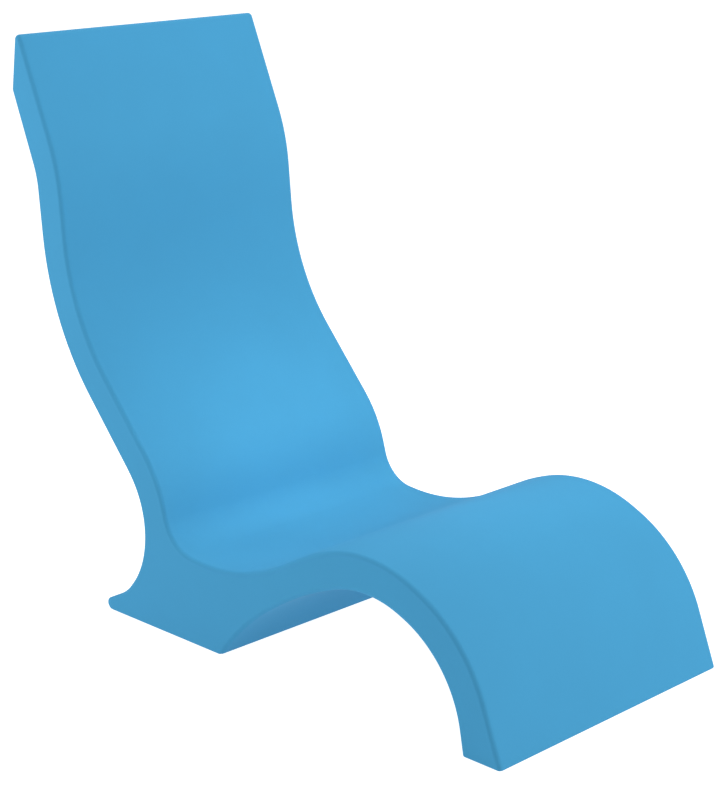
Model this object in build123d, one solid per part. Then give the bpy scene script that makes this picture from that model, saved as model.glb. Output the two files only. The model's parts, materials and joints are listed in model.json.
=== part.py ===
"""A lounge chair for shallow pool ledges: one hollow moulded shell that is filled with water.

The shell keeps one side profile across its whole width. A screwed plug with a gasket closes the
fill hole at the top of the back, and another closes the drain hole under the base.
X runs from the back to the toe, Y across the width and Z up, with the floor at zero.
Every length is in millimetres.
"""

import os
from math import cos, radians, sin, tan

from build123d import *

# The whole lounger
overall_length = 1186
overall_height = 1032
overall_width = 559

# The moulded wall and its roundings. The bends of the outline stay wider than the side rounding.
wall = 6
side_radius = 8
corner_over_side = 2
tip_over_side = 1.3
nose_over_side = 2.3
inner_radius = 3
floor_edge_radius = 3

# The side profile: sections that can be set by themselves
panel_thickness = 66
end_face_length = 125
end_face_lean = 9
toe_thickness = 82
base_behind_seat = 47.5
base_length = 352
base_slope_run = 92
base_slope_rise = 47

# The two screwed ports: a pocket that hides the plug, and a threaded insert moulded into its floor
fill_from_tip = 85
drain_from_corner = 150
drain_floor_gap = 2
pocket_radius = 30
pocket_rim_radius = 2
insert_length = 15
insert_radius = 20.5
insert_flange_radius = 23
insert_flange_thickness = 3
insert_wall_cover = 4

# The plugs and their gaskets
gasket_thickness = 2.5
gasket_rim = 1.5
gasket_bore_gap = 0.4
gasket_play = 0.02
head_radius = 22.5
head_thickness = 5
head_edge_radius = 1.5
grip_width = 8
grip_height = 5
grip_end_gap = 2.5
grip_edge_radius = 1
plug_core_radius = 15.1
plug_core_wall = 3
plug_end_gap = 1
neck_gap = 0.3

# The screw thread
thread_pitch = 3
thread_depth = 1.2
thread_root_width = 1.6
thread_crest_width = 0.7
thread_clearance = 0.3
thread_bite = 0.4
thread_lead_gap = 1.5
groove_lead_turns = 2
unscrew_turns = 3

# The run past a face that every cut has
overrun = 5

# The top of the outline, from the tip of the back down to the toe. Each point is a share of the
# length from the rear and a share of the height, then the share of its shorter side that the bend
# takes up.
tip_shares = (0.0193, 1.0229)
top_shares = (
    (0.1102, 0.7793, 0.215),
    (0.1301, 0.5258, 0.507),
    (0.3210, 0.2769, 0.427),
    (0.3500, 0.1600, 0.407),
    (0.4956, 0.1455, 0.640),
    (0.6461, 0.2382, 0.165),
    (0.7595, 0.2874, 0.770),
    (0.9367, 0.1922, 0.510),
)

# The row of the seat's lowest corner, which the base stands under
seat_row = 4

# The back of the outline, from the top down, and the arch under the knees, from the base to the
# toe. Each point lies beside one point of the top, at shares of the panel's thickness.
rear_shares = (
    (0, -1.010, -0.342, 0.144),
    (1, -1.009, -0.379, 0.600),
    (2, -1.283, -0.073, 0.050),
    (3, -0.469, 0.083, 0.930),
)
arch_shares = (
    (4, 0.232, -1.086, 0.860),
    (5, -0.219, -1.115, 0.469),
    (6, -0.077, -1.121, 0.515),
    (7, -0.516, -0.762, 0.725),
)
slope_bend_share = 0.215
full_side_share = 0.99

# Sizes that follow
half_width = overall_width / 2
corner_radius = side_radius + corner_over_side
tip_radius = side_radius + tip_over_side
nose_radius = side_radius + nose_over_side
travel = unscrew_turns * thread_pitch
head_height = head_thickness + grip_height
fill_pocket_depth = gasket_thickness + head_height
drain_pocket_depth = fill_pocket_depth + travel + drain_floor_gap
thread_radius = plug_core_radius + thread_depth
thread_flank = (thread_root_width - thread_crest_width) / 2 / thread_depth
insert_bore_radius = plug_core_radius + thread_clearance
insert_collar_radius = insert_flange_radius + insert_wall_cover


def bend_radii(points, shares, own_radii):
    """The radius at each corner of a closed outline. A bend takes up a share of the shorter side at
    its corner, and two bends on one side never take up more than its full share. A corner with no
    share has a radius of its own."""
    after = [*points[1:], points[0]]
    sides = [(b - a).length for a, b in zip(points, after)]
    slopes = []
    taken = []
    for i, share in enumerate(shares):
        turn = radians((points[i] - points[i - 1]).get_angle(after[i] - points[i]))
        slopes.append(tan(turn / 2))
        if share is None:
            taken.append(own_radii[i] * slopes[i])
        else:
            taken.append(share * min(sides[i - 1], sides[i]))
    rooms = [full_side_share * side for side in sides]
    fits = [room / max(room, a + b) for room, a, b in zip(rooms, taken, [*taken[1:], taken[0]])]
    return [own_radii[i] if share is None else taken[i] * min(fits[i - 1], fits[i]) / slopes[i]
            for i, share in enumerate(shares)]


def outline_corners():
    """The corners of the side profile with their radii, from the tip of the back down to the toe,
    and back along the floor and up the rear."""
    rear = -overall_length / 2
    tip = Vector(rear + tip_shares[0] * overall_length, tip_shares[1] * overall_height)
    lean = radians(end_face_lean)
    back_corner = tip - Vector(sin(lean), cos(lean)) * end_face_length
    toe = Vector(overall_length / 2, 0)
    heel = toe - Vector(toe_thickness, 0)
    top = [Vector(rear + x * overall_length, z * overall_height) for x, z, _ in top_shares]
    base_corner = Vector(top[seat_row].X - base_behind_seat, 0)
    nose = base_corner - Vector(base_length, 0)
    slope = nose + Vector(base_slope_run, base_slope_rise)

    def beside_top(rows):
        """The points beside the top's, in the order that runs back towards the tip."""
        return [top[i] + Vector(x, z) * panel_thickness for i, x, z, _ in reversed(rows)]

    points = [tip, *top, toe, heel, *beside_top(arch_shares), base_corner, nose, slope]
    points += [*beside_top(rear_shares), back_corner]
    shares = [None, *(row[-1] for row in top_shares), None, None]
    shares += [*(row[-1] for row in reversed(arch_shares)), None, None, slope_bend_share]
    shares += [*(row[-1] for row in reversed(rear_shares)), None]
    own = iter((tip_radius, 0, 0, corner_radius, nose_radius, corner_radius))
    own_radii = {i: next(own) for i, share in enumerate(shares) if share is None}
    return points, bend_radii(points, shares, own_radii)


def inset(points, radii, amount):
    """The corners and radii of the outline that runs a given amount inside this one."""
    moved = []
    inner = []
    for i, point in enumerate(points):
        way_in = (point - points[i - 1]).normalized()
        way_out = (points[(i + 1) % len(points)] - point).normalized()
        inwards = Vector(way_in.Y + way_out.Y, -way_in.X - way_out.X)
        moved.append(point + inwards * amount / (1 + way_in.dot(way_out)))
        turns_in = way_in.cross(way_out).Z < 0
        inner.append(max(radii[i] - amount if turns_in else radii[i] + amount, inner_radius))
    return moved, inner


def profile_solid(points, radii, half_depth):
    """The solid of a side profile, drawn on XZ and carried both ways across the width."""
    ring = FilletPolyline(*points, radius=radii, close=True)
    return extrude(Plane.XZ * make_face(ring), amount=half_depth, both=True)


def on_floor(shape, beyond):
    """Whether an edge or face lies on the floor ahead of a place along the lounger."""
    middle = shape.center()
    return abs(middle.Z) < wall / 2 and middle.X > beyond


def side_edges(solid, half_depth):
    """The edges round both side faces."""
    return [e for e in solid.edges() if abs(abs(e.center().Y) - half_depth) < inner_radius / 2]


def shell_outside(points, radii, arch_middle):
    """The outer solid: its sides rounded, and the toe's foot rounded less where it meets the floor."""
    solid = profile_solid(points, radii, half_width)
    sides = [e for e in side_edges(solid, half_width) if not on_floor(e, arch_middle)]
    solid = fillet(sides, side_radius)
    foot = [f for f in solid.faces().filter_by(Axis.Z) if on_floor(f, arch_middle)]
    return fillet(foot[0].edges(), floor_edge_radius)


def shell_cavity(points, radii):
    """The hollow for the water, one wall inside the outline and both side faces."""
    half_depth = half_width - wall
    solid = profile_solid(*inset(points, radii, wall), half_depth)
    return fillet(side_edges(solid, half_depth), min(side_radius - wall, inner_radius))


def disc(radius, low, high):
    """A round solid on the local Z axis between two heights."""
    return Pos(0, 0, low) * Cylinder(radius, high - low, align=(Align.CENTER, Align.CENTER, Align.MIN))


def thread_ridge(root_radius, crest_radius, crest_width, low, turns):
    """One helical ridge with flanks as steep as the thread's, rising from a height."""
    root_width = crest_width + 2 * thread_flank * (crest_radius - root_radius)
    section = Polyline(
        (root_radius, low - root_width / 2),
        (crest_radius, low - crest_width / 2),
        (crest_radius, low + crest_width / 2),
        (root_radius, low + root_width / 2),
        close=True,
    )
    path = Helix(thread_pitch, turns * thread_pitch, root_radius, center=(0, 0, low))
    return sweep(Plane.XZ * make_face(section), path=path, is_frenet=True)


# Each port is drawn on its own axes: the pocket's floor at zero and the way out of the shell up.
thread_low = plug_end_gap + thread_lead_gap - insert_length


def insert_outside():
    """The insert without its bore: a short barrel with a flange that the moulding grips."""
    flange_low = -(insert_length + insert_flange_thickness) / 2
    barrel = disc(insert_radius, -insert_length, 0)
    return barrel + disc(insert_flange_radius, flange_low, flange_low + insert_flange_thickness)


def make_insert():
    """The threaded insert. Its groove clears the plug's thread by the same gap all round."""
    bore = disc(insert_bore_radius, -insert_length - overrun, overrun)
    whole_turns = int(insert_length / thread_pitch)
    groove = thread_ridge(
        insert_bore_radius - thread_bite,
        thread_radius + thread_clearance,
        thread_crest_width + 2 * thread_clearance,
        thread_low - groove_lead_turns * thread_pitch,
        whole_turns + 2 * groove_lead_turns,
    )
    return insert_outside() - bore - groove


def make_gasket():
    """The flat ring between the plug's head and the pocket's floor. The head turns on it with play."""
    hole = disc(thread_radius + gasket_bore_gap, -overrun, gasket_thickness + overrun)
    return disc(head_radius - gasket_rim, 0, gasket_thickness - gasket_play) - hole


def make_plug():
    """The screw plug: a cored shank with its thread, a neck, a round head and a bar to grip."""
    head_top = gasket_thickness + head_thickness
    head = disc(head_radius, gasket_thickness, head_top)
    head = fillet(head.edges().group_by(Axis.Z)[-1], head_edge_radius)
    bar_length = 2 * (head_radius - grip_end_gap)
    bar = Pos(0, 0, head_top + grip_height / 2) * Box(bar_length, grip_width, grip_height)
    bar = fillet(bar.edges().filter_by(Axis.Z) + bar.faces().sort_by(Axis.Z)[-1].edges(), grip_edge_radius)
    shank = disc(plug_core_radius, plug_end_gap - insert_length, gasket_thickness)
    neck = disc(thread_radius, neck_gap, gasket_thickness)
    top_turn = -thread_lead_gap - thread_low
    thread = thread_ridge(
        plug_core_radius - thread_bite, thread_radius, thread_crest_width, thread_low, top_turn / thread_pitch
    )
    core = disc(plug_core_radius - plug_core_wall, -insert_length - overrun, 0)
    return shank + thread + neck + head + bar - core


def port_collar(pocket_depth):
    """The moulded plastic round a pocket and round the insert below it."""
    cup = disc(pocket_radius + wall, -wall, pocket_depth)
    return cup + disc(insert_collar_radius, -insert_length, 0)


def port_cut(pocket_depth):
    """What the pocket, widened round its rim, and the insert take out of the shell."""
    pocket = disc(pocket_radius, 0, pocket_depth)
    mouth = disc(pocket_radius + pocket_rim_radius, pocket_depth - pocket_rim_radius, pocket_depth + overrun)
    rim_path = Pos(0, 0, pocket_depth - pocket_rim_radius) * Torus(
        pocket_radius + pocket_rim_radius, pocket_rim_radius
    )
    return pocket + (mouth - rim_path) + insert_outside()


points, radii = outline_corners()
toe_index = len(top_shares) + 1
heel = points[toe_index + 1]
base_corner = points[toe_index + 2 + len(arch_shares)]
outside = shell_outside(points, radii, (heel.X + base_corner.X) / 2)

# The fill port looks out of the end face of the back, and the drain port down from the base
end_way = (points[-1] - points[0]).normalized()
fill_mouth = points[0] + end_way * fill_from_tip
fill_way = Vector(end_way.Y, 0, -end_way.X)
fill_seat = Vector(fill_mouth.X, 0, fill_mouth.Y) - fill_way * fill_pocket_depth
drain_seat = Vector(base_corner.X - drain_from_corner, 0, drain_pocket_depth)
across = (0, 1, 0)
ports = {
    "fill": (Plane(fill_seat, x_dir=across, z_dir=fill_way), fill_pocket_depth),
    "drain": (Plane(drain_seat, x_dir=across, z_dir=(0, 0, -1)), drain_pocket_depth),
}

shell = outside - shell_cavity(points, radii)
for plane, depth in ports.values():
    shell += (plane * port_collar(depth)) & outside
for plane, depth in ports.values():
    shell -= plane * port_cut(depth)

# The origin lies on the floor, under the middle of the box round the shell
box = outside.bounding_box()
to_origin = Pos(-(box.min.X + box.max.X) / 2, 0, 0)

nodes = {"moulded_shell": shell}
insert, gasket, plug = make_insert(), make_gasket(), make_plug()
for name, (plane, _) in ports.items():
    nodes[f"{name}_insert"] = plane * insert
    nodes[f"{name}_gasket"] = plane * gasket
    nodes[f"{name}_plug"] = plane * plug
    seat = to_origin * Pos(plane.origin)
    print(name, "port: pocket floor at", seat.position, "way out", plane.z_dir)

os.makedirs("parts", exist_ok=True)
for name, solid in nodes.items():
    export_step(to_origin * solid, f"parts/{name}.step")
print("shift along the length", to_origin.position.X, "outline radii", [round(r, 1) for r in radii])
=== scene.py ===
"""Dresses the in-pool lounge chair round its packed construction model.

The chair is one hollow polyethylene body that keeps one side profile across its whole width. Two
screwed plugs, each with a gasket and a moulded-in insert, close its fill hole and its drain hole.
Lengths are in metres, in the model's own frame: X runs from the back to the toe, Y across the
chair and Z up from the floor.
"""

import json
import logging
import math
from collections.abc import Iterable, Mapping, Sequence
from dataclasses import dataclass
from enum import Enum

import bmesh
import bpy
from mathutils import Matrix, Vector


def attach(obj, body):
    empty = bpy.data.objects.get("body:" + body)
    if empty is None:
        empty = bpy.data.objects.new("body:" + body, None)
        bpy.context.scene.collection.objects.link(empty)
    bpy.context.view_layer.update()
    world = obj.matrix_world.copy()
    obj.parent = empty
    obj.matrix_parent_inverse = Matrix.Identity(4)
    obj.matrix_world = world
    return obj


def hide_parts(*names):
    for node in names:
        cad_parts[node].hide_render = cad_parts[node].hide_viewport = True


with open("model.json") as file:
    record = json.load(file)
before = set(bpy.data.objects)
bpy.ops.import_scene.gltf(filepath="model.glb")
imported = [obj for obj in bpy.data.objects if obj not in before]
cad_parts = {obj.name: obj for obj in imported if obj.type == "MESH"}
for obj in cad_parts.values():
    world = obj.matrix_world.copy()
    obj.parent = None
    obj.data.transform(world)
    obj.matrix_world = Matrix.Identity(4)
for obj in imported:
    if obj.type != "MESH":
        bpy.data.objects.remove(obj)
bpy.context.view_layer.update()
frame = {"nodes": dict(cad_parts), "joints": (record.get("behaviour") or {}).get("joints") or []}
log = logging.getLogger("lounger")

WHITE = (1.0, 1.0, 1.0, 1.0)
NOISE_MEAN = 0.5


class Term:
    """A socket in an expression: arithmetic on it adds Math nodes to its graph."""

    def __init__(self, graph: "Graph", socket: bpy.types.NodeSocket) -> None:
        """Keeps the graph that the socket belongs to, so that expressions can grow it."""
        self.graph = graph
        self.socket = socket

    def __add__(self, other: "Term | float") -> "Term":
        """This plus a term or number."""
        return self.graph.math("ADD", self, other)

    def __radd__(self, other: float) -> "Term":
        """A number plus this."""
        return self.graph.math("ADD", other, self)

    def __sub__(self, other: "Term | float") -> "Term":
        """This less a term or number."""
        return self.graph.math("SUBTRACT", self, other)

    def __rsub__(self, other: float) -> "Term":
        """A number less this."""
        return self.graph.math("SUBTRACT", other, self)

    def __mul__(self, other: "Term | float") -> "Term":
        """This times a term or number."""
        return self.graph.math("MULTIPLY", self, other)

    def __rmul__(self, other: float) -> "Term":
        """A number times this."""
        return self.graph.math("MULTIPLY", other, self)

    def __truediv__(self, other: "Term | float") -> "Term":
        """This divided by a term or number."""
        return self.graph.math("DIVIDE", self, other)

    def __rtruediv__(self, other: float) -> "Term":
        """A number divided by this."""
        return self.graph.math("DIVIDE", other, self)

    def __neg__(self) -> "Term":
        """This with its sign changed."""
        return self.graph.math("MULTIPLY", self, -1.0)

    def clamped(self) -> "Term":
        """This kept between zero and one."""
        return self.graph.math("MINIMUM", self.graph.math("MAXIMUM", self, 0.0), 1.0)


# What a node's socket can be given.
Entry = Term | float | str | tuple[float, ...]


class Graph:
    """A node tree that grows by expressions and by one general method for its nodes."""

    def __init__(self, tree: bpy.types.NodeTree) -> None:
        """Starts from a tree, which may already hold nodes."""
        self.tree = tree

    def node(
        self,
        kind: str,
        settings: Mapping[str, str] | None = None,
        inputs: Mapping[str | int, Entry] | None = None,
        output: str | int = 0,
    ) -> Term:
        """Adds one node.

        Args:
            kind: The node's type.
            settings: Its own properties, set before its sockets.
            inputs: Values or terms for its sockets, by name or place.
            output: The name or place of the socket to go on with, if it isn't the first.

        Returns:
            The chosen output as a term.
        """
        made = self.tree.nodes.new(kind)
        for name, value in (settings or {}).items():
            setattr(made, name, value)
        for key, value in (inputs or {}).items():
            if isinstance(value, Term):
                self.tree.links.new(value.socket, made.inputs[key])
            else:
                made.inputs[key].default_value = value
        return Term(self, made.outputs[output])

    def math(self, operation: str, *values: Term | float) -> Term:
        """Adds a Math node on the given values."""
        return self.node("ShaderNodeMath", {"operation": operation}, dict(enumerate(values)))

    def vector(self, operation: str, *values: Term) -> Term:
        """Adds a Vector Math node on the given values."""
        return self.node("ShaderNodeVectorMath", {"operation": operation}, dict(enumerate(values)))

    def scaled(self, direction: Term, amount: Term | float) -> Term:
        """A vector times a number."""
        inputs = {0: direction, "Scale": amount}
        return self.node("ShaderNodeVectorMath", {"operation": "SCALE"}, inputs)


class Skin(Enum):
    """What a plastic surface took its grain from."""

    ROTOMOULD = "rotational mould"
    INJECTION = "injection mould"
    MACHINED = "lathe"


@dataclass(frozen=True)
class PlasticFinish:
    """A plastic whose colour, gloss and grain vary a little over its surface.

    Attributes:
        name: The material's name.
        slot: The record's material slot, not used.
        colour: The base colour, linear.
        skin: What gave the surface its grain.
        roughness: The mean roughness.
        roughness_spread: How far the roughness strays from its mean.
        refraction: The plastic's refractive index.
        sheen_level: How strongly it reflects, where 0.5 is the plain value for its refraction.
        mottle: The share by which pigment patches darken or lighten the colour.
        mottle_size: The size of the pigment patches.
        mottle_detail: How many finer layers of noise the patches hold.
        speck_ratio: How many times larger than the finest bumps the specks in the colour are.
        speck_detail: How many finer layers of noise the specks hold.
        grain_size: The size of the finest bumps.
        grain_depth: The height of the finest bumps.
        grain_detail: How many finer layers of noise the finest bumps hold.
        cell_smoothness: How far the pebbles of a rotational mould run into one another.
        ring_distortion: How far the rings of a lathe stray from circles.
        swell_size: The size of the slow swells in the skin.
        swell_depth: The height of those swells.
        swell_detail: How many finer layers of noise the swells hold.
    """

    name: str
    slot: str
    colour: tuple[float, float, float]
    skin: Skin
    roughness: float
    roughness_spread: float = 0.04
    refraction: float = 1.51
    sheen_level: float = 0.5
    mottle: float = 0.03
    mottle_size: float = 0.11
    mottle_detail: float = 3.0
    speck_ratio: float = 3.0
    speck_detail: float = 2.0
    grain_size: float = 0.0011
    grain_depth: float = 0.00003
    grain_detail: float = 3.0
    cell_smoothness: float = 0.6
    ring_distortion: float = 0.4
    swell_size: float = 0.012
    swell_depth: float = 0.00005
    swell_detail: float = 2.0

    def material(self) -> bpy.types.Material:
        """Builds the material once, and returns it."""
        made = bpy.data.materials.get(self.name)
        if made:
            return made
        made = bpy.data.materials.new(self.name)
        made.use_nodes = True
        graph = Graph(made.node_tree)
        shader = made.node_tree.nodes["Principled BSDF"]
        place = graph.node("ShaderNodeTexCoord", output="Object")
        speck_size = self.grain_size * self.speck_ratio
        patches = self._noise(graph, place, self.mottle_size, self.mottle_detail) - NOISE_MEAN
        specks = self._noise(graph, place, speck_size, self.speck_detail) - NOISE_MEAN
        tone = 1.0 + patches * (2 * self.mottle) + specks * self.mottle
        spread = self.roughness_spread
        rough = self.roughness + patches * spread + specks * spread
        plain = graph.node("ShaderNodeCombineXYZ", inputs=dict(enumerate(self.colour)))
        looks = {
            "Base Color": graph.scaled(plain, tone),
            "Roughness": rough,
            "Normal": self._relief(graph, place),
        }
        for name, term in looks.items():
            graph.tree.links.new(term.socket, shader.inputs[name])
        shader.inputs["IOR"].default_value = self.refraction
        shader.inputs["Specular IOR Level"].default_value = self.sheen_level
        return made

    @staticmethod
    def _noise(graph: Graph, place: Term, size: float, detail: float) -> Term:
        """Smooth noise.

        Args:
            graph: The material's graph.
            place: The point on the object.
            size: The size of its features.
            detail: How many finer layers of noise it holds.

        Returns:
            The noise, from 0 to 1.
        """
        inputs = {"Vector": place, "Scale": 1.0 / size, "Detail": detail}
        return graph.node("ShaderNodeTexNoise", inputs=inputs)

    def _relief(self, graph: Graph, place: Term) -> Term:
        """The surface's swells and grain as a bumped normal.

        Args:
            graph: The material's graph.
            place: The point on the object.

        Returns:
            The normal.
        """
        swell = self._noise(graph, place, self.swell_size, self.swell_detail) * self.swell_depth
        pattern = {"Vector": place, "Scale": 1.0 / self.grain_size}
        if self.skin is Skin.MACHINED:
            grain = self.grain_depth * graph.node(
                "ShaderNodeTexWave",
                {"wave_type": "RINGS", "rings_direction": "SPHERICAL"},
                pattern | {"Distortion": self.ring_distortion},
                "Fac",
            )
        else:
            grain = self._noise(graph, place, self.grain_size, self.grain_detail) * self.grain_depth
        if self.skin is Skin.ROTOMOULD:
            pebbles = graph.node(
                "ShaderNodeTexVoronoi",
                {"feature": "SMOOTH_F1"},
                pattern | {"Smoothness": self.cell_smoothness},
                "Distance",
            )
            grain = pebbles * self.grain_depth + grain
        relief = {"Strength": 1.0, "Distance": 1.0, "Height": swell + grain}
        return graph.node("ShaderNodeBump", inputs=relief)

    def dress(self, piece: bpy.types.Object) -> None:
        """Puts the material on a piece's only slot."""
        piece.data.materials.clear()
        piece.data.materials.append(self.material())


@dataclass(frozen=True)
class Station:
    """One point of the sampled profile.

    Attributes:
        place: Where it lies on XZ.
        wall_shift: How far it moves as the walls draw in by one.
        floor_shift: How far it moves as the floor faces draw up by one.
    """

    place: Vector
    wall_shift: Vector
    floor_shift: Vector

    def towards(self, other: "Station", share: float) -> "Station":
        """The station at a share of the way to another."""
        return Station(
            self.place.lerp(other.place, share),
            self.wall_shift.lerp(other.wall_shift, share),
            self.floor_shift.lerp(other.floor_shift, share),
        )


@dataclass(frozen=True)
class Corner:
    """A corner of the profile.

    Attributes:
        place: Where its two sides meet, before it is rounded.
        radius: The radius of its bend.
        floor_follows: Whether the side after it lies on the floor.
    """

    place: Vector
    radius: float
    floor_follows: bool


@dataclass(frozen=True)
class SideProfile:
    """The chair's side profile, by the sizes and shares that the construction model follows.

    The top runs from the tip of the back to the toe. The rear and the arch lie beside single points
    of the top, at shares of the panel's thickness. A row ends in the share of the shorter side that
    its bend takes up.

    Attributes:
        length: From the back to the toe, before the corners are rounded.
        height: From the floor to the top of the back.
        panel_thickness: The thickness of the back, the seat and the arch.
        end_face_length: The length of the end face behind the head.
        end_face_lean: How many degrees the end face leans towards the toe.
        toe_thickness: The length of the toe's face on the floor.
        base_behind_seat: How far behind the seat's lowest corner the base's front edge lies.
        base_length: The length of the base's face on the floor.
        base_slope_run: How far forward the slope over the base's rear edge runs.
        base_slope_rise: How far that slope rises.
        corner_radius: The bend at the base's front edge and at the end face's lower edge.
        tip_radius: The bend at the tip of the back.
        nose_radius: The bend at the base's rear edge.
        floor_edge_radius: The bends at both edges of the toe's face on the floor.
        tip_shares: The tip's place from the rear and the floor, as shares of length and height.
        top_shares: The top's corners, placed in the same way.
        rear_shares: The rear's corners. Each starts with the row of the top that it lies beside.
        arch_shares: The corners of the arch under the knees, in rows of the same kind.
        slope_bend_share: What the bend over the base's rear slope takes up.
        full_side_share: The most of one side that its two bends take up together.
        seat_row: Which row of the top is the seat's lowest corner, counted from zero.
        arc_step: The turn from one station to the next on a bend, at most.
        fewest_arc_steps: The steps that the smallest bend still takes.
        straight_step: About how far apart the stations on a straight stretch lie.
        guard: How far from a bend the first station on a straight stretch lies.
    """

    length: float = 1.186
    height: float = 1.032
    panel_thickness: float = 0.066
    end_face_length: float = 0.125
    end_face_lean: float = 9.0
    toe_thickness: float = 0.082
    base_behind_seat: float = 0.0475
    base_length: float = 0.352
    base_slope_run: float = 0.092
    base_slope_rise: float = 0.047
    corner_radius: float = 0.010
    tip_radius: float = 0.0093
    nose_radius: float = 0.0103
    floor_edge_radius: float = 0.003
    tip_shares: tuple[float, float] = (0.0193, 1.0229)
    top_shares: tuple[tuple[float, float, float], ...] = (
        (0.1102, 0.7793, 0.215),
        (0.1301, 0.5258, 0.507),
        (0.3210, 0.2769, 0.427),
        (0.3500, 0.1600, 0.407),
        (0.4956, 0.1455, 0.640),
        (0.6461, 0.2382, 0.165),
        (0.7595, 0.2874, 0.770),
        (0.9367, 0.1922, 0.510),
    )
    rear_shares: tuple[tuple[int, float, float, float], ...] = (
        (0, -1.010, -0.342, 0.144),
        (1, -1.009, -0.379, 0.600),
        (2, -1.283, -0.073, 0.050),
        (3, -0.469, 0.083, 0.930),
    )
    arch_shares: tuple[tuple[int, float, float, float], ...] = (
        (4, 0.232, -1.086, 0.860),
        (5, -0.219, -1.115, 0.469),
        (6, -0.077, -1.121, 0.515),
        (7, -0.516, -0.762, 0.725),
    )
    slope_bend_share: float = 0.215
    full_side_share: float = 0.99
    seat_row: int = 4
    arc_step: float = math.radians(2.5)
    fewest_arc_steps: int = 5
    straight_step: float = 0.030
    guard: float = 0.003

    def corners(self) -> list[Corner]:
        """The corners, from the tip down the top to the toe, along the floor and up the rear."""
        rear = -self.length / 2
        tip = Vector((rear + self.tip_shares[0] * self.length, self.tip_shares[1] * self.height))
        lean = math.radians(self.end_face_lean)
        back_corner = tip - Vector((math.sin(lean), math.cos(lean))) * self.end_face_length
        toe = Vector((self.length / 2, 0))
        heel = toe - Vector((self.toe_thickness, 0))
        top = [Vector((rear + x * self.length, z * self.height)) for x, z, _ in self.top_shares]
        base_corner = Vector((top[self.seat_row].x - self.base_behind_seat, 0))
        nose = base_corner - Vector((self.base_length, 0))
        slope = nose + Vector((self.base_slope_run, self.base_slope_rise))
        arch_rows = self.arch_shares[::-1]
        rear_rows = self.rear_shares[::-1]
        arch = [top[i] + Vector((x, z)) * self.panel_thickness for i, x, z, _ in arch_rows]
        back = [top[i] + Vector((x, z)) * self.panel_thickness for i, x, z, _ in rear_rows]
        places = [tip, *top, toe, heel, *arch, base_corner, nose, slope, *back, back_corner]
        shares = [0, *(row[-1] for row in self.top_shares), 0, 0]
        shares += [*(row[-1] for row in arch_rows), 0, 0, self.slope_bend_share]
        shares += [*(row[-1] for row in rear_rows), 0]
        own_radii = {
            places.index(tip): self.tip_radius,
            places.index(toe): self.floor_edge_radius,
            places.index(heel): self.floor_edge_radius,
            places.index(base_corner): self.corner_radius,
            places.index(nose): self.nose_radius,
            places.index(back_corner): self.corner_radius,
        }
        before_floor = (places.index(toe), places.index(base_corner))
        radii = self.bend_radii(places, shares, own_radii)
        return [Corner(place, radii[i], i in before_floor) for i, place in enumerate(places)]

    def bend_radii(
        self, places: Sequence[Vector], shares: Sequence[float], own_radii: Mapping[int, float]
    ) -> list[float]:
        """The radius at each corner of the outline, by the construction model's rule.

        Args:
            places: The corners.
            shares: What share of the shorter side at its corner each bend takes up.
            own_radii: The radii of the corners that have one of their own.

        Returns:
            One radius for each corner. Two bends never take up more of a side than its full share.
        """
        after = [*places[1:], places[0]]
        sides = [(b - a).length for a, b in zip(places, after)]
        slopes = []
        taken = []
        for i, share in enumerate(shares):
            turn = (places[i] - places[i - 1]).angle(after[i] - places[i])
            slopes.append(math.tan(turn / 2))
            if i in own_radii:
                taken.append(own_radii[i] * slopes[i])
            else:
                taken.append(share * min(sides[i - 1], sides[i]))
        rooms = [self.full_side_share * side for side in sides]
        pairs = zip(taken, [*taken[1:], taken[0]])
        fits = [room / max(room, a + b) for room, (a, b) in zip(rooms, pairs)]
        return [
            own_radii.get(i) or taken[i] * min(fits[i - 1], fits[i]) / slopes[i]
            for i in range(len(places))
        ]

    def stations(self) -> list[Station]:
        """Samples the rounded profile.

        Returns:
            Stations round the whole loop, close together on tight bends, with the loop's middle at
            zero along the length.
        """
        corners = self.corners()
        bends = [self._bend(corners, i) for i in range(len(corners))]
        found = []
        for i, bend in enumerate(bends):
            found += bend
            found += self._straight(bend[-1], bends[(i + 1) % len(bends)][0])
        xs = [station.place.x for station in found]
        middle = Vector(((min(xs) + max(xs)) / 2, 0))
        return [Station(s.place - middle, s.wall_shift, s.floor_shift) for s in found]

    def _bend(self, corners: Sequence[Corner], i: int) -> list[Station]:
        """The stations round one corner.

        Args:
            corners: All the corners.
            i: The corner's place among them.

        Returns:
            The stations, from the end of one side to the start of the next.
        """
        corner = corners[i]
        way_in = (corner.place - corners[i - 1].place).normalized()
        way_out = (corners[(i + 1) % len(corners)].place - corner.place).normalized()
        inward_in = Vector((way_in.y, -way_in.x))
        turn = abs(way_in.angle_signed(way_out))
        crossing = way_in.cross(way_out)
        side = 1 if crossing < 0 else -1
        reach = corner.radius * math.tan(turn / 2)
        centre = corner.place - way_in * reach + inward_in * (side * corner.radius)
        steps = max(self.fewest_arc_steps, math.ceil(turn / self.arc_step))
        mixed = corners[i - 1].floor_follows != corner.floor_follows
        for_in = way_out / -crossing
        for_out = way_in / crossing
        found = []
        for k in range(steps + 1):
            inward = Matrix.Rotation(-side * turn * k / steps, 2) @ inward_in
            place = centre - inward * (side * corner.radius)
            if not mixed:
                found.append(Station(place, inward, Vector((0, 0))))
            elif corner.floor_follows:
                found.append(Station(place, for_in, for_out))
            else:
                found.append(Station(place, for_out, for_in))
        return found

    def _straight(self, start: Station, end: Station) -> list[Station]:
        """The stations inside one straight stretch, with one close to each end."""
        length = (end.place - start.place).length
        between_guards = length - 2 * self.guard
        if between_guards < self.guard:
            return []
        inner = max(1, round(between_guards / self.straight_step))
        first = self.guard / length
        shares = [first + (1 - 2 * first) * k / inner for k in range(inner + 1)]
        return [start.towards(end, share) for share in shares]


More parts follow.
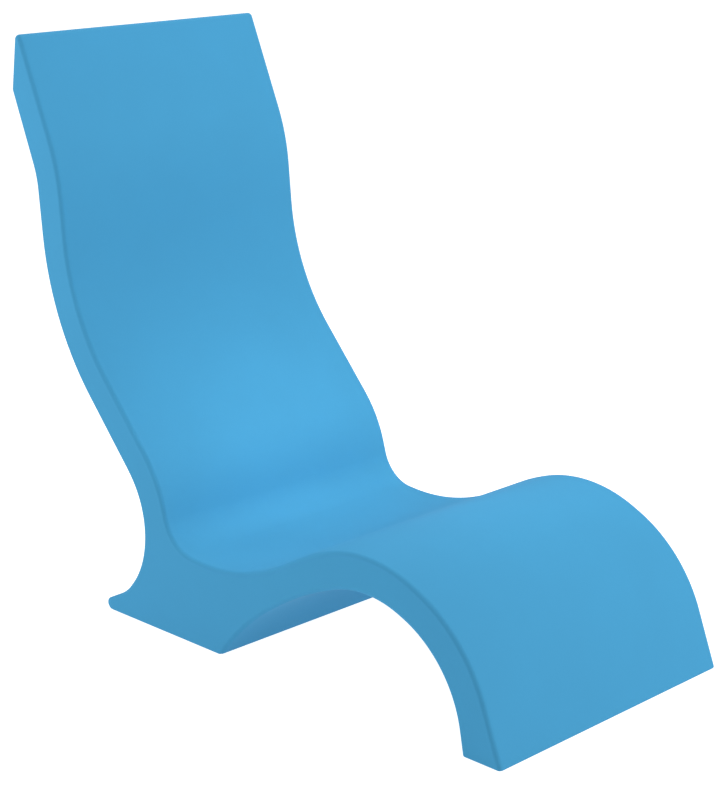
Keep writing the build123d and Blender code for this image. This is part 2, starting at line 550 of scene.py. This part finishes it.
@dataclass(frozen=True)
class Port:
    """One screwed port: its pocket, in which the plug lies sunk, and the well for its insert.

    Attributes:
        name: The port's name, which its pieces' names start with.
        pocket_depth: From the shell's face to the pocket's floor.
        pocket_radius: The pocket's radius.
        rim_radius: The rounding round the pocket's mouth.
        insert_radius: The insert's outer radius.
        insert_length: The insert's length.
        fit: The gap between the insert and the well that holds it.
        overrun: How far the cut runs out past the face.
        segments: Sides of the round cut.
        rim_steps: Steps round the rim's rounding.
    """

    name: str
    pocket_depth: float
    pocket_radius: float = 0.030
    rim_radius: float = 0.002
    insert_radius: float = 0.0205
    insert_length: float = 0.015
    fit: float = 0.00005
    overrun: float = 0.004
    segments: int = 96
    rim_steps: int = 5

    def placement(self) -> Matrix:
        """The port's axes in the model's frame: its Z runs out of the pocket's floor."""
        joint = next(j for j in frame["joints"] if j["name"] == f"{self.name}_plug_turn")
        turn = Vector((0, 0, 1)).rotation_difference(Vector(joint["axis"]))
        return Matrix.Translation(joint["pos_m"]) @ turn.to_matrix().to_4x4()

    def cut_profile(self) -> list[tuple[float, float]]:
        """Radius and height of the cut's outline, from the well's bottom to beyond the mouth."""
        well = self.insert_radius + self.fit
        mouth = self.pocket_radius + self.rim_radius
        rim = []
        for step in range(self.rim_steps + 1):
            angle = math.pi / 2 * step / self.rim_steps
            inwards = self.rim_radius * math.cos(angle)
            down = self.rim_radius * (1 - math.sin(angle))
            rim.append((mouth - inwards, self.pocket_depth - down))
        top = self.pocket_depth + self.overrun
        return [
            (0, -self.insert_length),
            (well, -self.insert_length),
            (well, 0),
            (self.pocket_radius, 0),
            *rim,
            (mouth, top),
            (0, top),
        ]

    def cutter(self) -> bpy.types.Object:
        """The closed round solid that the shell's pocket is cut with."""
        mesh = turned_mesh(f"{self.name}_cut", self.cut_profile(), self.segments)
        mesh.transform(self.placement())
        return new_object(mesh)


def new_object(mesh: bpy.types.Mesh) -> bpy.types.Object:
    """Links a mesh to the scene as an object of its name."""
    piece = bpy.data.objects.new(mesh.name, mesh)
    bpy.context.scene.collection.objects.link(piece)
    return piece


def turned_mesh(
    name: str, profile: Sequence[tuple[float, float]], segments: int
) -> bpy.types.Mesh:
    """Turns a profile round the Z axis.

    Args:
        name: The mesh's name.
        profile: Radius and height of each point. The first and last lie on the axis.
        segments: Steps round the axis.

    Returns:
        A closed mesh with its faces outwards.
    """
    shape = bmesh.new()
    poles = [shape.verts.new((0, 0, profile[0][1])), shape.verts.new((0, 0, profile[-1][1]))]
    angles = [2 * math.pi * k / segments for k in range(segments)]
    rings = [
        [shape.verts.new((radius * math.cos(a), radius * math.sin(a), height)) for a in angles]
        for radius, height in profile[1:-1]
    ]
    for k in range(segments):
        after = (k + 1) % segments
        shape.faces.new((poles[0], rings[0][after], rings[0][k]))
        shape.faces.new((poles[1], rings[-1][k], rings[-1][after]))
        for low, high in zip(rings, rings[1:]):
            shape.faces.new((low[k], low[after], high[after], high[k]))
    bmesh.ops.recalc_face_normals(shape, faces=shape.faces)
    mesh = bpy.data.meshes.new(name)
    shape.to_mesh(mesh)
    shape.free()
    return mesh


@dataclass(frozen=True)
class MouldedShell:
    """The moulded body: its side profile carried across the width by Geometry Nodes.

    Attributes:
        profile: The side profile.
        ports: The screwed ports, whose pockets are cut into it.
        finish: The plastic of the body.
        half_width: Half the chair's width.
        side_radius: The rounding along both sides.
        floor_radius: The rounding where the sides meet the floor.
        rounding_rows: Steps round each side's rounding.
        flat_rows: Rows of points between the roundings, an odd number.
        guard: How far inside each rounding a row keeps the shading of the flat.
        rim_guard: The same on the side faces, where the tightest corner leaves less room.
        ripple_depth: How deep the slow ripples of the moulding sink.
        ripple_size: The size of those ripples.
        ripple_detail: How many finer layers of noise they hold.
        ripple_free_height: The height over the floor at which they reach their depth.
        seed: Where in the noise the ripples lie.
        sharp_angle: The turn between two faces from which their edge is shaded sharp.
        merge_gap: How close together points are joined into one.
    """

    profile: SideProfile
    ports: Sequence[Port]
    finish: PlasticFinish
    half_width: float = 0.2795
    side_radius: float = 0.008
    floor_radius: float = 0.003
    rounding_rows: int = 12
    flat_rows: int = 27
    guard: float = 0.003
    rim_guard: float = 0.0005
    ripple_depth: float = 0.0005
    ripple_size: float = 0.16
    ripple_detail: float = 1.0
    ripple_free_height: float = 0.06
    seed: float = 4.0
    sharp_angle: float = math.radians(40)
    merge_gap: float = 0.00001

    def build(self) -> bpy.types.Object:
        """Builds and dresses the body, which stands for the construction model's shell."""
        base = self._outline_object()
        tree = self._tree()
        modifier = base.modifiers.new("extrusion", "NODES")
        modifier.node_group = tree
        sizes = {
            "Half Width": self.half_width,
            "Side Radius": self.side_radius,
            "Floor Radius": self.floor_radius,
            "Rounding Rows": self.rounding_rows,
            "Flat Rows": self.flat_rows,
            "Guard": self.guard,
            "Rim Guard": self.rim_guard,
            "Ripple Depth": self.ripple_depth,
            "Ripple Size": self.ripple_size,
            "Ripple Free Height": self.ripple_free_height,
            "Seed": self.seed,
            "Material": self.finish.material(),
        }
        for item in tree.interface.items_tree:
            if item.name in sizes:
                modifier[item.identifier] = sizes[item.name]
        piece = new_object(plain_mesh(base, "shell_skin"))
        bpy.data.objects.remove(base)
        self._cut_ports(piece)
        piece.data.set_sharp_from_angle(angle=self.sharp_angle)
        self.finish.dress(piece)
        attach(piece, "shell")
        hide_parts("moulded_shell")
        return piece

    def _outline_object(self) -> bpy.types.Object:
        """The sampled profile as loose points that carry how they move when the faces draw in."""
        stations = self.profile.stations()
        mesh = bpy.data.meshes.new("shell_outline")
        mesh.from_pydata([(s.place.x, s.place.y, 0) for s in stations], [], [])
        for name in ("wall_shift", "floor_shift"):
            layer = mesh.attributes.new(name, "FLOAT_VECTOR", "POINT")
            for item, station in zip(layer.data, stations):
                item.vector = (*getattr(station, name), 0)
        return new_object(mesh)

    def _tree(self) -> bpy.types.NodeTree:
        """The Geometry Nodes tree. The profile lies on its XY, and the width runs along its Z."""
        tree = bpy.data.node_groups.new("shell_extrusion", "GeometryNodeTree")
        lengths = ("Half Width", "Side Radius", "Floor Radius", "Guard", "Rim Guard")
        ripples = ("Ripple Depth", "Ripple Size", "Ripple Free Height", "Seed")
        entries = {
            "Geometry": ("Outline",),
            "Float": lengths + ripples,
            "Int": ("Rounding Rows", "Flat Rows"),
            "Material": ("Material",),
        }
        for kind, names in entries.items():
            for name in names:
                tree.interface.new_socket(name, in_out="INPUT", socket_type=f"NodeSocket{kind}")
        tree.interface.new_socket("Shell", in_out="OUTPUT", socket_type="NodeSocketGeometry")
        graph = Graph(tree)
        entry = tree.nodes.new("NodeGroupInput")
        given = {socket.name: Term(graph, socket) for socket in entry.outputs if socket.name}
        wall = self._wall(graph, given)
        shell = self._capped(graph, given, wall)
        shell = self._rippled(graph, given, shell)
        to_upright = {"Geometry": shell, "Rotation": (math.pi / 2, 0, 0)}
        shell = graph.node("GeometryNodeTransform", inputs=to_upright)
        shell = graph.node("GeometryNodeSetShadeSmooth", inputs={"Geometry": shell})
        shell = graph.node("GeometryNodeRealizeInstances", inputs={"Geometry": shell})
        dressed = {"Geometry": shell, "Material": given["Material"]}
        shell = graph.node("GeometryNodeSetMaterial", inputs=dressed)
        leave = tree.nodes.new("NodeGroupOutput")
        tree.links.new(shell.socket, leave.inputs["Shell"])
        return tree

    @staticmethod
    def _wall(graph: Graph, given: Mapping[str, Term]) -> Term:
        """The wall round the profile, with both side roundings and a narrow flat rim on each side.

        Args:
            graph: The tree's graph.
            given: The tree's named inputs.

        Returns:
            The open wall as a mesh.
        """
        outline = given["Outline"]
        half_width, guard, rim_guard = given["Half Width"], given["Guard"], given["Rim Guard"]
        radius, floor_radius = given["Side Radius"], given["Floor Radius"]
        turns = given["Rounding Rows"]
        count = graph.node(
            "GeometryNodeAttributeDomainSize",
            {"component": "MESH"},
            {"Geometry": outline},
            "Point Count",
        )
        rows = given["Flat Rows"] + 2 * (turns + 1)
        grid_size = {"Vertices X": count + 1, "Vertices Y": rows}
        grid = graph.node("GeometryNodeMeshGrid", inputs=grid_size)
        # The grid's points are counted up one column after another, and a column is a station.
        index = graph.node("GeometryNodeInputIndex")
        column = graph.math("FLOOR", index / rows)
        row = index - column * rows
        station = graph.math("MODULO", column, count)

        # Counted outwards from the middle row, the flat comes first, then the rounding and the rim.
        middle = (rows - 1) / 2
        from_middle = row - middle
        steps_out = graph.math("ABSOLUTE", from_middle)
        last_flat = middle - turns - 1
        rim = (steps_out - last_flat - turns).clamped()
        angle = ((steps_out - last_flat) / turns).clamped() * (math.pi / 2)
        even_share = graph.math("MINIMUM", steps_out / (last_flat - 1), 1)
        at_tangent = (steps_out - last_flat + 1).clamped()
        flat = even_share * (half_width - radius - guard) + at_tangent * guard
        across = flat + radius * graph.math("SINE", angle)
        wall_in = radius * (1 - graph.math("COSINE", angle)) + rim * rim_guard
        # The edges on the floor have a rounding of their own, smaller than the sides' one.
        past = graph.math("MAXIMUM", across - (half_width - floor_radius), 0)
        rise_squared = graph.math("MAXIMUM", floor_radius * floor_radius - past * past, 0)
        floor_in = floor_radius - graph.math("SQRT", rise_squared) + rim * rim_guard

        def sampled(value: Term) -> Term:
            """A value of the outline at the row's station."""
            return graph.node(
                "GeometryNodeSampleIndex",
                {"data_type": "FLOAT_VECTOR", "domain": "POINT"},
                {"Geometry": outline, "Value": value, "Index": station},
            )

        def carried(name: str) -> Term:
            """A vector attribute of the outline at the row's station."""
            kind = {"data_type": "FLOAT_VECTOR"}
            return sampled(graph.node("GeometryNodeInputNamedAttribute", kind, {"Name": name}))

        place = sampled(graph.node("GeometryNodeInputPosition"))
        place = graph.vector("ADD", place, graph.scaled(carried("wall_shift"), wall_in))
        place = graph.vector("ADD", place, graph.scaled(carried("floor_shift"), floor_in))
        out = graph.math("SIGN", from_middle) * across
        place = graph.vector("ADD", place, graph.node("ShaderNodeCombineXYZ", inputs={"Z": out}))
        moved = {"Geometry": grid, "Position": place}
        wall = graph.node("GeometryNodeSetPosition", inputs=moved)
        return graph.node("GeometryNodeFlipFaces", inputs={"Mesh": wall})

    def _capped(self, graph: Graph, given: Mapping[str, Term], wall: Term) -> Term:
        """Closes the wall's seam, and both sides with a flat face.

        Args:
            graph: The tree's graph.
            given: The tree's named inputs.
            wall: The open wall.

        Returns:
            The closed shell.
        """
        seams = {"Geometry": wall, "Distance": self.merge_gap}
        seamed = graph.node("GeometryNodeMergeByDistance", inputs=seams)
        # An edge at an open side has one face beside it, and every other edge has two.
        between_one_and_two = 1.5
        faces = graph.node("GeometryNodeInputMeshEdgeNeighbors")
        open_edge = graph.math("LESS_THAN", faces, between_one_and_two)
        place = graph.node("GeometryNodeInputPosition")
        height = graph.node("ShaderNodeSeparateXYZ", inputs={0: place}, output="Z")
        near_edge = open_edge * graph.math("GREATER_THAN", height, 0)
        edges = {"Mesh": seamed, "Selection": near_edge}
        loop = graph.node("GeometryNodeMeshToCurve", inputs=edges)
        face = graph.node("GeometryNodeFillCurve", {"mode": "NGONS"}, {"Curve": loop})
        near, far = (
            graph.node(
                "GeometryNodeTransform",
                inputs={
                    "Geometry": face,
                    "Translation": graph.node("ShaderNodeCombineXYZ", inputs={"Z": out}),
                },
            )
            for out in (given["Half Width"], -given["Half Width"])
        )
        far = graph.node("GeometryNodeFlipFaces", inputs={"Mesh": far})
        parts = graph.tree.nodes.new("GeometryNodeJoinGeometry")
        for part in (seamed, near, far):
            graph.tree.links.new(part.socket, parts.inputs[0])
        seams = {"Geometry": Term(graph, parts.outputs[0]), "Distance": self.merge_gap}
        return graph.node("GeometryNodeMergeByDistance", inputs=seams)

    def _rippled(self, graph: Graph, given: Mapping[str, Term], shell: Term) -> Term:
        """Sinks slow ripples into the wall, but not into the side faces or near the floor.

        Args:
            graph: The tree's graph.
            given: The tree's named inputs.
            shell: The closed shell.

        Returns:
            The rippled shell.
        """
        place = graph.node("GeometryNodeInputPosition")
        normal = graph.node("GeometryNodeInputNormal")
        height = graph.node("ShaderNodeSeparateXYZ", inputs={0: place}, output="Y")
        sideways = graph.node("ShaderNodeSeparateXYZ", inputs={0: normal}, output="Z")
        pattern = {"Vector": place, "W": given["Seed"], "Scale": 1 / given["Ripple Size"]}
        pattern["Detail"] = self.ripple_detail
        noise = graph.node("ShaderNodeTexNoise", {"noise_dimensions": "4D"}, pattern)
        above_floor = (height / given["Ripple Free Height"]).clamped()
        free = above_floor * (1 - graph.math("ABSOLUTE", sideways))
        sink = -(noise * given["Ripple Depth"] * free)
        sunk = {"Geometry": shell, "Offset": graph.scaled(normal, sink)}
        return graph.node("GeometryNodeSetPosition", inputs=sunk)

    def _cut_ports(self, piece: bpy.types.Object) -> None:
        """Cuts each port's pocket and well out of the body."""
        for port in self.ports:
            cutter = port.cutter()
            cut = piece.modifiers.new(f"{port.name}_pocket", "BOOLEAN")
            cut.operation = "DIFFERENCE"
            cut.solver = "EXACT"
            cut.object = cutter
            mesh = plain_mesh(piece, piece.data.name)
            piece.modifiers.clear()
            piece.data = mesh
            bpy.data.objects.remove(cutter)


def plain_mesh(piece: bpy.types.Object, name: str) -> bpy.types.Mesh:
    """What a piece's modifiers make of it, as a mesh of its own."""
    graph = bpy.context.evaluated_depsgraph_get()
    mesh = bpy.data.meshes.new_from_object(piece.evaluated_get(graph), depsgraph=graph)
    mesh.name = name
    return mesh


@dataclass(frozen=True)
class PhotoCamera:
    """The camera at the photograph's viewing angle.

    Attributes:
        place: Where it stands.
        azimuth: Its heading in degrees: 0 looks along +Y, 90 along -X.
        elevation: How many degrees it looks down.
        roll: Its turn about its own axis, in degrees.
        focal_length: The lens in millimetres, for the sensor's long side.
        sensor: The sensor's long side in millimetres.
        far_limit: How far it sees.
    """

    place: tuple[float, float, float] = (2.4604, -2.4508, 1.4191)
    azimuth: float = 44.863
    elevation: float = 15.916
    roll: float = -0.150
    focal_length: float = 94.31
    sensor: float = 36.0
    far_limit: float = 100.0

    def build(self) -> None:
        """Creates the camera and makes it the scene's."""
        data = bpy.data.cameras.new("photo_camera")
        data.sensor_fit = "AUTO"
        data.sensor_width = self.sensor
        data.lens = self.focal_length
        data.clip_end = self.far_limit
        camera = bpy.data.objects.new("photo_camera", data)
        bpy.context.scene.collection.objects.link(camera)
        heading = Matrix.Rotation(math.radians(self.azimuth), 4, "Z")
        tilt = Matrix.Rotation(math.radians(90 - self.elevation), 4, "X")
        roll = Matrix.Rotation(math.radians(self.roll), 4, "Z")
        camera.matrix_world = Matrix.Translation(self.place) @ heading @ tilt @ roll
        bpy.context.scene.camera = camera


@dataclass(frozen=True)
class SoftBox:
    """One square studio light that faces the chair.

    Attributes:
        name: The light's name.
        place: Where it hangs.
        size: The length of its side.
        power: Its power in watts.
        aim: The point that it faces.
        spread: How wide it shines, in degrees. A grid on the box makes this less than 180.
    """

    name: str
    place: tuple[float, float, float]
    size: float
    power: float
    aim: tuple[float, float, float] = (0.0, 0.0, 0.4)
    spread: float = 180.0

    def build(self) -> None:
        """Hangs the light."""
        data = bpy.data.lights.new(self.name, "AREA")
        data.size = self.size
        data.energy = self.power
        data.spread = math.radians(self.spread)
        light = bpy.data.objects.new(self.name, data)
        bpy.context.scene.collection.objects.link(light)
        light.location = self.place
        way = Vector(self.aim) - Vector(self.place)
        light.rotation_euler = way.to_track_quat("-Z", "Y").to_euler()


@dataclass(frozen=True)
class Studio:
    """The plain pale floor and the soft light round the chair.

    Attributes:
        lights: The studio lights.
        floor_size: The side of the square floor.
        floor_grey: The floor's reflectance.
        floor_roughness: The floor's roughness.
        floor_sheen: How strongly the floor mirrors, where 0.5 is the plain value.
        floor_glow: The light that the floor itself gives off, as a lit studio table does.
        floor_whitening: What the camera sees more of it, as in a picture whose ground is cleared.
        sky_strength: The strength of the even light from all round.
    """

    lights: Iterable[SoftBox]
    floor_size: float = 60.0
    floor_grey: float = 0.35
    floor_roughness: float = 0.9
    floor_sheen: float = 0.1
    floor_glow: float = 0.84
    floor_whitening: float = 0.15
    sky_strength: float = 0.515

    def build(self) -> None:
        """Lays the floor, lights the sky and hangs the lights."""
        self._lay_floor()
        world = bpy.data.worlds.new("studio_sky")
        world.use_nodes = True
        sky = world.node_tree.nodes["Background"]
        sky.inputs["Color"].default_value = WHITE
        sky.inputs["Strength"].default_value = self.sky_strength
        bpy.context.scene.world = world
        bpy.context.scene.view_settings.view_transform = "Standard"
        for light in self.lights:
            light.build()

    def _lay_floor(self) -> None:
        """Lays the floor, which belongs to the stage."""
        half = self.floor_size / 2
        places = [(-half, -half, 0), (half, -half, 0), (half, half, 0), (-half, half, 0)]
        mesh = bpy.data.meshes.new("floor")
        mesh.from_pydata(places, [], [(0, 1, 2, 3)])
        floor = new_object(mesh)
        paint = bpy.data.materials.new("floor_paint")
        paint.use_nodes = True
        shader = paint.node_tree.nodes["Principled BSDF"]
        shader.inputs["Base Color"].default_value = (*(self.floor_grey,) * 3, 1.0)
        shader.inputs["Roughness"].default_value = self.floor_roughness
        shader.inputs["Specular IOR Level"].default_value = self.floor_sheen
        shader.inputs["Emission Color"].default_value = WHITE
        graph = Graph(paint.node_tree)
        seen = graph.node("ShaderNodeLightPath", output="Is Camera Ray")
        glow = self.floor_glow + seen * self.floor_whitening
        paint.node_tree.links.new(glow.socket, shader.inputs["Emission Strength"])
        floor.data.materials.append(paint)


BODY_PLASTIC = PlasticFinish(
    name="blue_polyethylene",
    slot="shell_blue",
    colour=(0.0505, 0.276, 0.490),
    skin=Skin.ROTOMOULD,
    roughness=0.8,
    sheen_level=0.1,
)
PLUG_PLASTIC = PlasticFinish(
    name="blue_plug_plastic",
    slot="plug_blue",
    colour=(0.042, 0.245, 0.445),
    skin=Skin.INJECTION,
    roughness=0.5,
    sheen_level=0.2,
    mottle=0.015,
    grain_size=0.0006,
    grain_depth=0.00001,
    grain_detail=4.0,
    swell_depth=0.00001,
)
INSERT_PLASTIC = PlasticFinish(
    name="grey_insert_plastic",
    slot="insert_grey",
    colour=(0.55, 0.56, 0.57),
    skin=Skin.MACHINED,
    roughness=0.38,
    mottle=0.01,
    grain_size=0.0008,
    grain_depth=0.000006,
    swell_depth=0.000004,
)
GASKET_RUBBER = PlasticFinish(
    name="black_gasket_rubber",
    slot="gasket_black",
    colour=(0.02, 0.02, 0.021),
    skin=Skin.INJECTION,
    roughness=0.72,
    grain_size=0.0005,
    grain_depth=0.00001,
    grain_detail=4.0,
    swell_depth=0.00001,
)
PORTS = (Port("fill", pocket_depth=0.0125), Port("drain", pocket_depth=0.0235))
LIGHTS = (
    SoftBox("overhead", (-0.6, 0.0, 3.2), size=1.4, power=18.9),
    SoftBox("front", (2.4, 1.4, 2.2), size=1.6, power=69.2),
    SoftBox("side", (-2.2, -2.2, 1.4), size=1.6, power=44.1),
    SoftBox("rear", (-1.6, 1.8, 2.8), size=1.6, power=25.7),
    SoftBox(
        "lap_front", (1.6, 0.6, 1.6), size=0.5, power=0.20, aim=(-0.22, 0.0, 0.22), spread=18.0
    ),
    SoftBox(
        "lap_top", (0.9, 0.3, 1.2), size=0.5, power=0.155, aim=(-0.22, 0.0, 0.20), spread=26.0
    ),
)


def dress_ports() -> None:
    """Gives the construction model's inserts, gaskets and plugs their finishes."""
    finishes = {"insert": INSERT_PLASTIC, "gasket": GASKET_RUBBER, "plug": PLUG_PLASTIC}
    for port in PORTS:
        for part, finish in finishes.items():
            finish.dress(frame["nodes"][f"{port.name}_{part}"])
            log.info("dressed %s_%s", port.name, part)


def main() -> None:
    """Builds the studio and the chair's pieces in order, and reports each."""
    logging.basicConfig(level=logging.INFO, format="%(name)s: %(message)s")
    PhotoCamera().build()
    Studio(LIGHTS).build()
    shell = MouldedShell(SideProfile(), PORTS, BODY_PLASTIC).build()
    log.info("built %s with %d faces", shell.name, len(shell.data.polygons))
    dress_ports()


if __name__ == "__main__":
    main()
